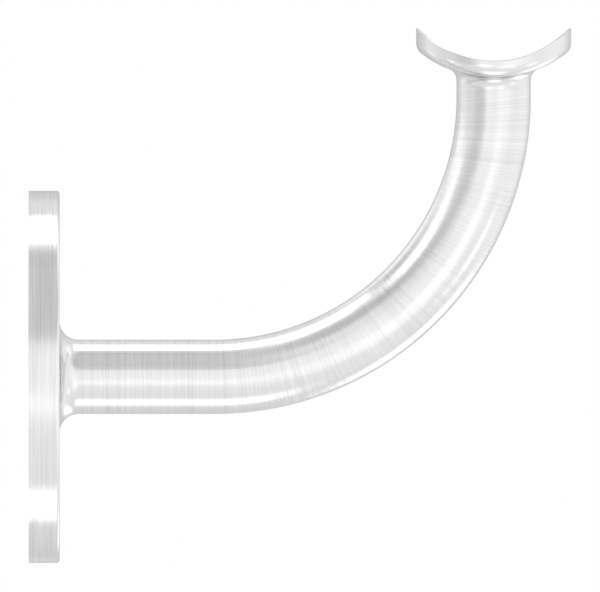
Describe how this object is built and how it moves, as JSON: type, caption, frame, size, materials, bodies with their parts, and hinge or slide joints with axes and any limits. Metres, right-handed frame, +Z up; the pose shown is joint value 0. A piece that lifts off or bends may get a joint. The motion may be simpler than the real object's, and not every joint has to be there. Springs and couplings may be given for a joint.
{
  "type": "handrail bracket",
  "caption": "Wall bracket for a round handrail: disc wall plate, solid round bar bent through a quarter turn and a dished saddle that the rail tube lies in.",
  "frame": {"origin": "centre of the wall plate's back face, which lies on the wall", "axes": "+X straight out of the wall, +Z up towards the rail, Y along the rail"},
  "size_m": [0.0875, 0.06, 0.0862],
  "materials": {
    "brushed_stainless": "satin, brushed in fine rings",
    "dressed_weld": "smooth, polished after welding"
  },
  "bodies": {
    "root": {"base_plate": "brushed_stainless", "bent_bar": "brushed_stainless", "saddle": "brushed_stainless", "base_weld": "dressed_weld", "saddle_weld": "dressed_weld"}
  },
  "joints": []
}
